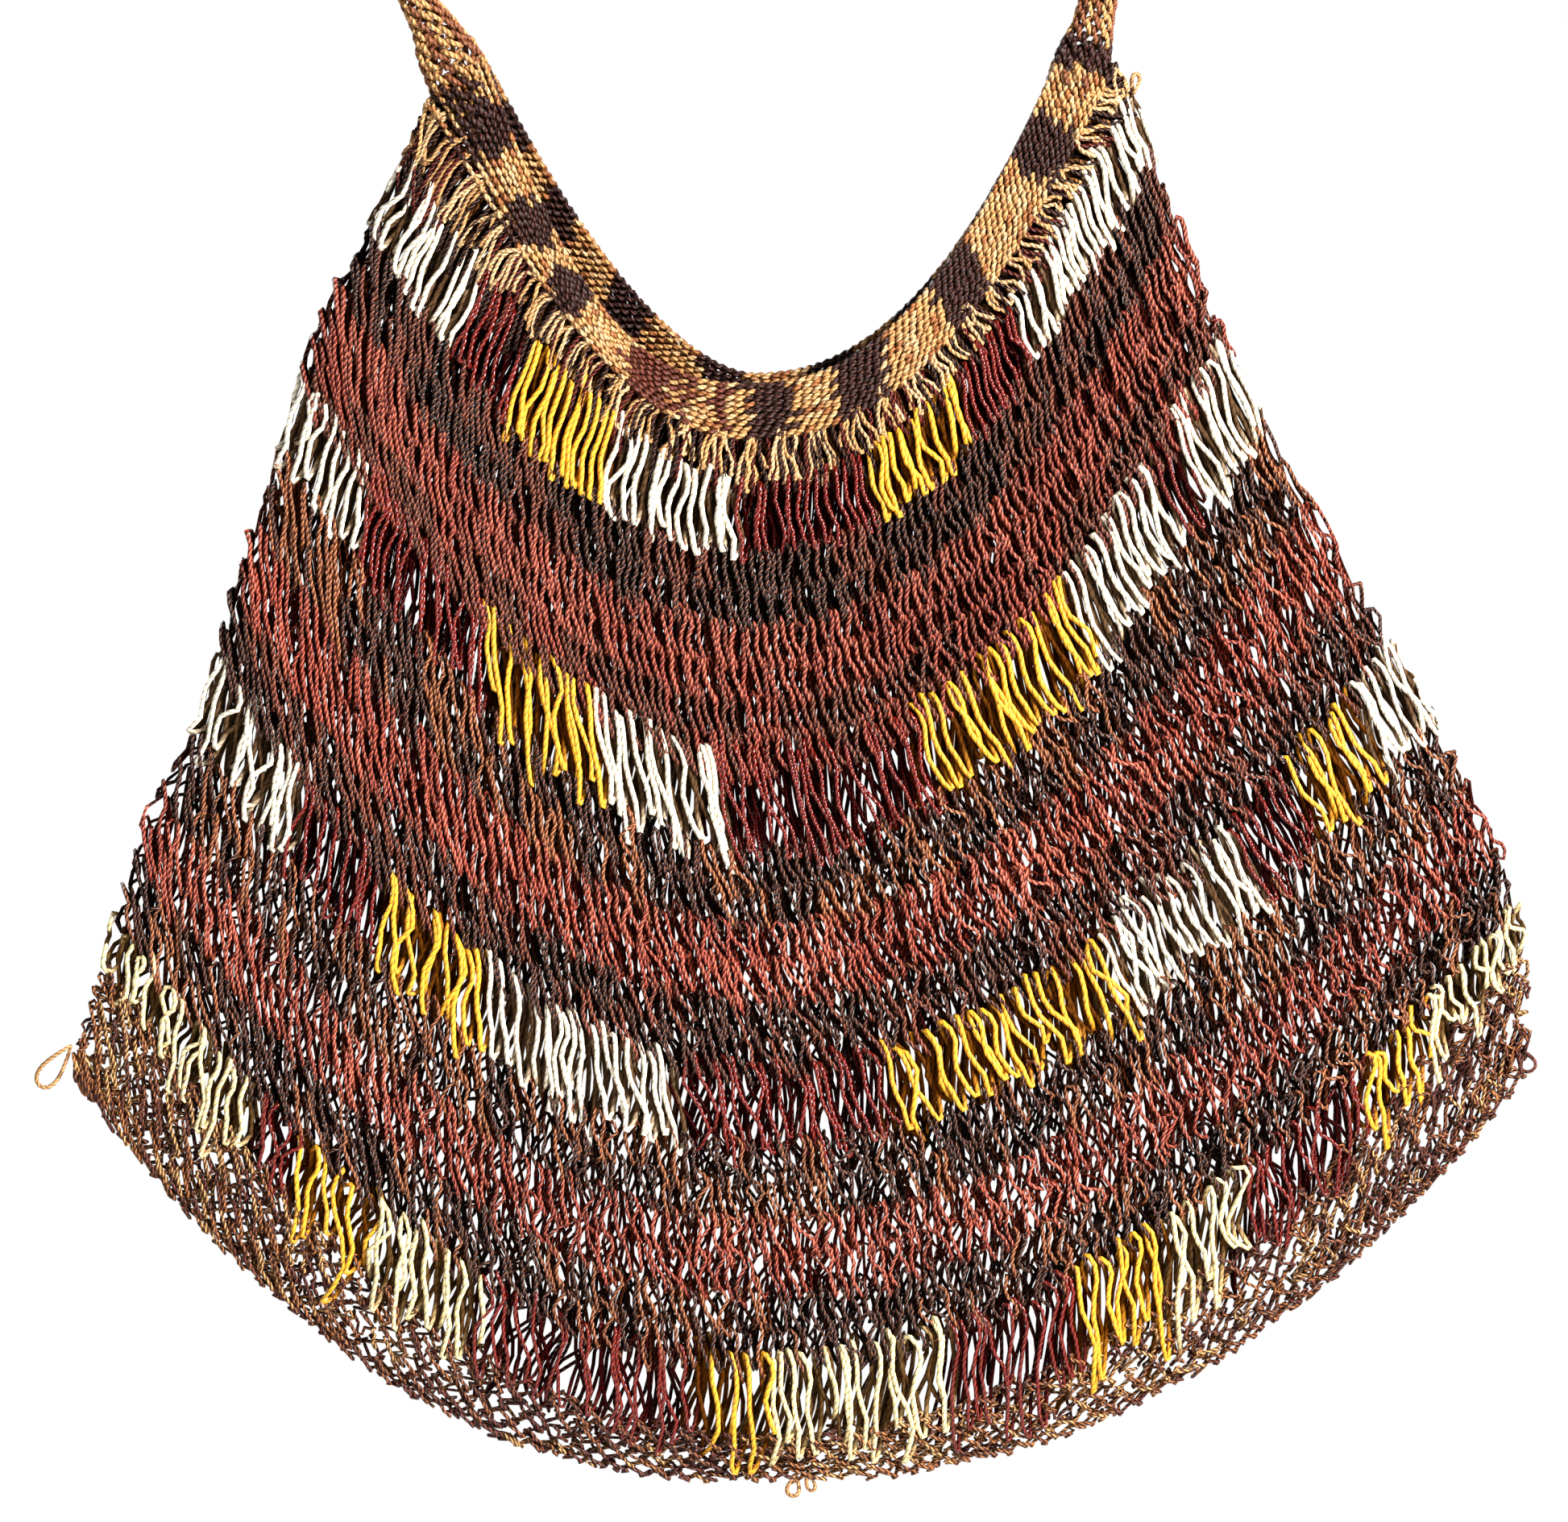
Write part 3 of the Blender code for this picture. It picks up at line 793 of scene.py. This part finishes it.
def net_round(number, fold=None):
    """One round of the open net at the foot, each set half a loop on from the one above it.

    With a fold it is a short round, laid in between two whole ones and only near that fold.
    """
    step = (NET_FOOT - NET_TOP) / NET_ROWS
    rise = [NET_RISE * (1.0 - (number + end) / NET_ROWS) for end in (0.0, 1.0)]
    course = Course(NET_TOP + step * number, NET_TOP + step * (number + 1), *rise, *NET_LOOPS)
    seed = 70 + round(10 * number)
    lie = np.interp(number, np.arange(NET_ROWS), NET_LIE)
    points, loop, inner = looped_round(course, NET_LOOP, NET_SAMPLES, seed, unevenness=0.7, slant=0.0,
                                       offset=0.5 * number, lie=lie)
    draw = np.random.default_rng(seed + 500)
    count = sum(NET_LOOPS)
    pale = draw.uniform(0.0, 1.0, count) < smooth(*PALE_SHARE, shares_of(course))
    pale_dye = np.where(draw.uniform(0.0, 1.0, (count, 1)) < 0.5, DYES["tan"], DYES["deep tan"])
    dark_dye = np.where(draw.uniform(0.0, 1.0, (count, 1)) < 0.5, DYES["brown"], DYES["warm brown"])
    dye = np.where(pale[:, None], pale_dye, dark_dye) * draw.uniform(0.8, 1.2, (count, 1))
    loops = np.arange(count) if fold is None else np.arange(fold - SHORT_REACH, fold + SHORT_REACH) % count
    order = (loops[:, None] * NET_SAMPLES + np.arange(NET_SAMPLES)).ravel()
    # The net gets only a third of the painted shade inside the cloth.
    return Path(points[order], dye[loop][order], np.full(len(order), NET_RADIUS),
                yarn_length(points[order]), 0.3 * inner[order], fold is None)


net = [net_round(number) for number in range(NET_ROWS)] + [net_round(*short) for short in SHORT_ROUNDS]
dress(spin("foot_net", net, NET_BAST), "net_body")

# %% [markdown]
# Stray loops
#
# Here and there the end of a strand stands off the edge as a small open loop: a large one at the
# left corner, with a tuft of tan ends beside it, two at the foot and one on either side of them,
# one by the right strap and two at the right corner. Each is a drop of yarn with its point at the
# cloth, given by its middle, its size and its turn.

# %% Stray loops of the edge
Stray = namedtuple("Stray", "x z wide high turn dye")
STRAYS = [
    Stray(-214.0, -587.5, 7.5, 15.0, 38.0, "tan"), Stray(-204.0, -592.0, 3.4, 16.0, -32.0, "tan"),
    Stray(-201.0, -589.0, 3.0, 15.0, -44.0, "pale tan"), Stray(-206.5, -590.0, 3.0, 13.0, -18.0, "deep tan"),
    Stray(-198.5, -595.0, 3.2, 15.0, -50.0, "deep tan"), Stray(-195.0, -600.0, 3.2, 14.0, -40.0, "tan"),
    Stray(6.0, -712.4, 4.4, 6.4, 10.0, "tan"), Stray(10.8, -711.4, 3.0, 5.4, -15.0, "tan"),
    Stray(107.6, -295.0, 2.8, 6.0, 190.0, "tan"), Stray(223.6, -585.6, 5.4, 8.0, -35.0, "brown"),
    Stray(212.5, -595.0, 2.4, 8.0, -45.0, "deep tan"), Stray(-119.0, -656.0, 3.2, 6.0, 20.0, "brown"),
    Stray(126.0, -671.5, 3.0, 6.0, -25.0, "deep tan"),
]
STRAY_RADIUS = 0.62 * MM
STRAY_TURN = np.linspace(0.0, 2.0 * np.pi, 20, endpoint=False)


def stray_loop(stray):
    """A small open loop of yarn that stands off the edge of the cloth."""
    turn = math.radians(stray.turn)
    wide = 0.5 * stray.wide * np.cos(STRAY_TURN) * (0.7 - 0.5 * np.sin(STRAY_TURN))
    high = 0.5 * stray.high * np.sin(STRAY_TURN)
    x = stray.x + wide * math.cos(turn) + high * math.sin(turn)
    z = stray.z - wide * math.sin(turn) + high * math.cos(turn)
    points = np.stack([x, 0.8 * np.sin(2.0 * STRAY_TURN), z], axis=1) * MM
    shape = np.ones((len(points), 1))
    return Path(points, shape * DYES[stray.dye], STRAY_RADIUS * shape[:, 0], yarn_length(points),
                0.0 * shape[:, 0], True)


dress(spin("stray_loops", [stray_loop(stray) for stray in STRAYS], BAND_BAST), "net_body")

# %% [markdown]
# The band
#
# The band is the strap's own fabric, carried on round the rim, so its rows run along the edge and
# not down the bag. What shows of a row is a line of short slanting stitches, each of which dives
# under the next. Nine rows lie side by side on the outer face and nine on the inner, where the
# back of the mouth turns its inside to the viewer.
#
# A row is measured out by its length along the rim and not by its width across the bag. At the
# steep sides these differ by a factor of two, and stitches are as long there as in the middle.

# %% Rows along the rim
ROWS = 9
ROW_TOP, ROW_FOOT, ROW_FOOT_DROP = 384.8, 401.0, 11.0
STITCH_LENGTH = 2.9
BAND_RADIUS = 0.78 * MM
OUTER_LIE, INNER_LIE, STITCH_DEPTH = 2.4, 1.0, 0.55
STITCH = [
    Bend(0.00, -0.34, -0.9), Bend(0.15, -0.20, 0.4), Bend(0.45, 0.00, 1.0), Bend(0.75, 0.20, 0.6),
    Bend(0.91, 0.34, -0.5),
]
STITCH_UNEVEN = 0.06
RIM_GRID = np.linspace(0.0, 2.0, 1201)


def row_depth(number, around):
    """How deep a row lies: evenly between the rim and the band's foot, which drops to the folds."""
    foot = ROW_FOOT + ROW_FOOT_DROP * to_fold(around) ** 1.2
    return ROW_TOP + (foot - ROW_TOP) * (number + 0.5) / ROWS


def row_length(number):
    """Millimetres along a row from the left fold to each place of the grid."""
    points = over_cloth(row_depth(number, RIM_GRID), RIM_GRID, np.full(len(RIM_GRID), OUTER_LIE))
    return yarn_length(points) / MM


print("length of the rim row, mm:", round(float(row_length(0)[-1])))

# %% [markdown]
# The dark blocks of the band
#
# A dark yarn was laid in at intervals, which leaves near-black blocks 14 to 18 mm long. Their
# middles are given as shares of the way between the folds, and their half lengths in millimetres
# along the row, for the reason just given.

# %% Where the rows are dark
Dark = namedtuple("Dark", "around half rounded dye")
DARK_BLOCKS = [
    Dark(0.036, 8.0, 1.0, "black brown"), Dark(0.106, 8.5, 1.0, "black brown"),
    Dark(0.170, 7.5, 0.9, "black brown"), Dark(0.290, 8.5, 0.3, "brown"), Dark(0.352, 1.6, 0.0, "brown"),
    Dark(0.409, 1.6, 0.0, "brown"), Dark(0.488, 7.0, 0.2, "black brown"),
    Dark(0.645, 8.5, 0.0, "black brown"), Dark(0.800, 9.0, 0.0, "black brown"),
    Dark(0.932, 9.0, 0.2, "black brown"), Dark(0.997, 4.5, 0.0, "black brown"),
    Dark(2.0 - 0.054, 7.0, 0.0, "black brown"), Dark(2.0 - 0.140, 7.0, 0.0, "black brown"),
    Dark(2.0 - 0.253, 7.5, 0.0, "black brown"), Dark(2.0 - 0.412, 8.0, 0.0, "black brown"),
    Dark(2.0 - 0.600, 8.0, 0.0, "black brown"), Dark(2.0 - 0.740, 8.5, 0.0, "black brown"),
    Dark(2.0 - 0.880, 9.0, 0.0, "black brown"),
]


def stitch_dyes(number, length_at, lengths, draw):
    """The dye of every stitch of a row, from its place along it."""
    dyes = np.array([DYES["tan"], DYES["pale tan"], DYES["deep tan"]])[
        draw.choice(3, len(lengths), p=(0.6, 0.25, 0.15))]
    for block in DARK_BLOCKS:
        middle = np.interp(block.around, RIM_GRID, length_at) + draw.normal(0.0, 1.0)
        half = block.half * (1.0 - block.rounded * abs((number - 4.0) / 4.6) ** 2) ** 0.5
        dyes[np.abs(lengths - middle) < half] = DYES[block.dye]
    return dyes * draw.uniform(0.8, 1.15, (len(lengths), 1))


def row_stitches(number, count, draw):
    """A row's stitches: their numbers, and how far along, sideways and out each point lies."""
    along, sideways, out = [np.tile(column, count) for column in loop_shape(STITCH, len(STITCH))]
    stitch = np.repeat(np.arange(count), len(STITCH))
    shift = 0.5 * (number % 2) + draw.normal(0.0, STITCH_UNEVEN, count)[stitch]
    return stitch, stitch + along + shift, sideways, out


def band_row(number, inside):
    """One closed row of stitches, on the outer face or the inner."""
    draw = np.random.default_rng(80 + number + 20 * inside)
    length_at = row_length(number)
    count = round(length_at[-1] / STITCH_LENGTH)
    stitch, along, sideways, out = row_stitches(number, count, draw)
    lengths = np.mod(along / count, 1.0) * length_at[-1]
    around = np.interp(lengths, length_at, RIM_GRID)
    lean = 0.25 + 1.0 * np.clip(np.mod(around, 1.0) * 3.0 - 0.4, 0.0, 1.0)
    spacing = (row_depth(ROWS, around) - row_depth(0, around)) / ROWS
    depth = row_depth(number, around) - sideways * spacing * lean * (-1.0 if inside else 1.0)
    lie = INNER_LIE - STITCH_DEPTH * out if inside else OUTER_LIE + STITCH_DEPTH * out
    points = over_cloth(depth, around, lie)
    dye = stitch_dyes(number, length_at, (np.arange(count) + 0.5) * length_at[-1] / count, draw)[stitch]
    # Painted shade where a stitch dives under the next, and more on the inner face.
    deep = np.clip(0.4 - 0.4 * out, 0.0, 1.0) + 0.2 * inside
    return Path(points, dye, np.full(len(points), BAND_RADIUS), yarn_length(points), deep, True)


rows = [band_row(number, inside) for inside in (False, True) for number in range(ROWS)]
dress(spin("band_rows", rows, BAND_BAST), "mouth_band")

# %% [markdown]
# The strap
#
# The strap is the same fabric, but its load draws it into a narrow bundle. It leaves each side of
# the mouth flat to the viewer and turns edge on as it climbs. Sixteen rows of stitches lie side
# by side round an oval that follows the frame's strap. At each end the oval opens and the rows
# run on over the front and the back of the band, which is where they are worked in.

# %% The strap's course
Station = namedtuple("Station", "name x z across deep")
STRAP = [
    Station("left_worked_in", -87.5, -309.0, 16.5, 18.0),
    Station("left_spread", -91.5, -299.0, 19.0, 14.0),
    Station("left_root", -95.4, -289.2, 18.5, 7.5),
    Station("left_knuckle", -98.0, -285.0, 17.0, 6.5),
    Station("left_throat", -101.0, -278.5, 13.5, 6.8),
    Station("left_turn", -106.5, -269.5, 10.0, 9.0),
    Station("left_leg", -122.0, -240.0, 5.6, 11.0),
    Station("left_rise", -130.0, -190.0, 4.8, 12.0),
    Station("left_bend", -124.0, -115.0, 4.8, 12.0),
    Station("left_shoulder", -100.0, -54.0, 4.8, 12.0),
    Station("left_crown", -56.0, -12.5, 4.8, 12.5),
    Station("crown", 0.0, 2.4, 4.8, 13.0),
    Station("right_crown", 52.0, -12.5, 4.8, 12.5),
    Station("right_shoulder", 90.0, -54.0, 4.8, 12.0),
    Station("right_bend", 110.0, -115.0, 5.0, 12.0),
    Station("right_rise", 113.0, -185.0, 6.0, 11.0),
    Station("right_leg", 104.5, -242.0, 8.6, 8.0),
    Station("right_throat", 97.2, -267.5, 11.0, 6.0),
    Station("right_knuckle", 94.8, -279.0, 12.6, 6.5),
    Station("right_root", 92.6, -286.0, 15.5, 9.0),
    Station("right_worked_in", 89.0, -297.0, 17.5, 16.0),
]
STRAP_ROWS = 16
STRAP_STITCH = 4.8
STRAP_TURNS = 1.5
STRAP_SINK, STRAP_RELIEF, STRAP_LEAN = 0.7, 0.45, 1.3
DARK_LEFT_END = 15.0
DARK_RIGHT_MIDDLE, DARK_RIGHT_HALF = 9.0, 5.0


def strap_at(places, *columns):
    """Columns of the strap's stations, read smoothly at these places."""
    keys = np.arange(len(STRAP))
    return [smooth(keys, [station[i] for station in STRAP], places) for i in columns]


def strap_row(number):
    """One row of stitches, from where it is worked in on the left over the crown to the right."""
    fine = np.linspace(0.0, len(STRAP) - 1.0, 1601)
    length_at = yarn_length(np.stack(strap_at(fine, 1, 2), axis=1))
    count = round(length_at[-1] / STRAP_STITCH)
    draw = np.random.default_rng(900 + number)
    stitch, along, sideways, out = row_stitches(number, count, draw)
    lengths = along * length_at[-1] / (count + 0.6)
    at = np.interp(lengths, length_at, fine)
    x, z, across, deep = strap_at(at, 1, 2, 3, 4)
    run = np.stack(strap_at(at + 0.05, 1, 2), axis=1) - np.stack(strap_at(at - 0.05, 1, 2), axis=1)
    run /= np.linalg.norm(run, axis=1, keepdims=True)
    spacing = 0.5 * np.pi * (across + deep) / STRAP_ROWS
    share = lengths / length_at[-1]
    turn = 2.0 * np.pi * (number / STRAP_ROWS + STRAP_TURNS * share)
    turn += STRAP_LEAN * sideways * spacing / (0.25 * (across + deep))
    across_off = (0.5 * across - STRAP_SINK + STRAP_RELIEF * out) * np.cos(turn)
    y = (0.5 * deep - STRAP_SINK + STRAP_RELIEF * out) * np.sin(turn)
    points = np.stack([x - run[:, 1] * across_off, y, z + run[:, 0] * across_off], axis=1) * MM
    base = DYES["warm brown" if draw.uniform() < 0.3 else "tan"]
    dyes = np.tile(base, (count, 1)) * draw.uniform(0.8, 1.15, (count, 1))
    from_left = (np.arange(count) + 0.5) / count * length_at[-1]
    from_middle = np.abs(length_at[-1] - from_left - DARK_RIGHT_MIDDLE)
    dyes[(from_left < DARK_LEFT_END) | (from_middle < DARK_RIGHT_HALF)] = DYES["black brown"]
    radius = np.clip(0.44 * spacing, 0.66, 0.95) * MM
    # Painted shade where a stitch dives under the next.
    return Path(points, dyes[stitch], radius, yarn_length(points), np.clip(0.4 - 0.4 * out, 0.0, 1.0), False)


strap_rows = [strap_row(number) for number in range(STRAP_ROWS)]
dress(spin("strap_rows", strap_rows, BAND_BAST), "strap")

# %% [markdown]
# Light and ground
#
# The bag is lit by one small soft box from the right, so that every strand has a bright side and
# a dark one, with a weak fill from the left and another behind. The surroundings are white, but
# they light the bag less than they show: yarn in the open would look flat if it were lit as
# strongly from behind as from in front. The floor is a pale disc well below the bag.

# %% Floor, lights and surroundings
FLOOR_Z, FLOOR_RADIUS = -1.0, 1.5


def soft_light(name, place, aim, size, watts):
    data = bpy.data.lights.new(name, "AREA")
    data.size = size
    data.energy = watts
    light = bpy.data.objects.new(name, data)
    light.location = place
    light.rotation_euler = (Vector(aim) - Vector(place)).to_track_quat("-Z", "Y").to_euler()
    bpy.context.scene.collection.objects.link(light)


bpy.ops.mesh.primitive_circle_add(vertices=96, radius=FLOOR_RADIUS, fill_type="NGON",
                                  location=(0.0, 0.0, FLOOR_Z))
floor = bpy.context.object
floor.name = "floor"
paint = bpy.data.materials.new("pale_floor")
paint.use_nodes = True
paint.node_tree.nodes["Principled BSDF"].inputs["Base Color"].default_value = (0.8, 0.79, 0.77, 1.0)
paint.node_tree.nodes["Principled BSDF"].inputs["Roughness"].default_value = 0.8
floor.data.materials.append(paint)

middle = (AIM_X, 0.0, AIM_Z)
soft_light("key", (2.0, -1.9, 0.45), middle, 0.40, 230.0)
soft_light("fill", (-1.6, -1.8, -0.2), middle, 1.2, 9.0)
soft_light("rear", (-1.0, 2.2, 0.3), middle, 1.0, 40.0)

world = bpy.data.worlds.new("white_room")
bpy.context.scene.world = world
world.use_nodes = True
room = world.node_tree
seen = room.nodes["Background"]
seen.inputs["Color"].default_value = (1.0, 1.0, 1.0, 1.0)
seen.inputs["Strength"].default_value = 1.0
glow = add_node(room, "ShaderNodeBackground")
glow.inputs["Color"].default_value = (1.0, 0.99, 0.97, 1.0)
glow.inputs["Strength"].default_value = 0.21
rays = add_node(room, "ShaderNodeLightPath")
blend = add_node(room, "ShaderNodeMixShader")
room.links.new(rays.outputs["Is Camera Ray"], blend.inputs["Fac"])
room.links.new(glow.outputs["Background"], blend.inputs[1])
room.links.new(seen.outputs["Background"], blend.inputs[2])
room.links.new(blend.outputs["Shader"], room.nodes["World Output"].inputs["Surface"])
bpy.context.scene.view_settings.view_transform = "Standard"
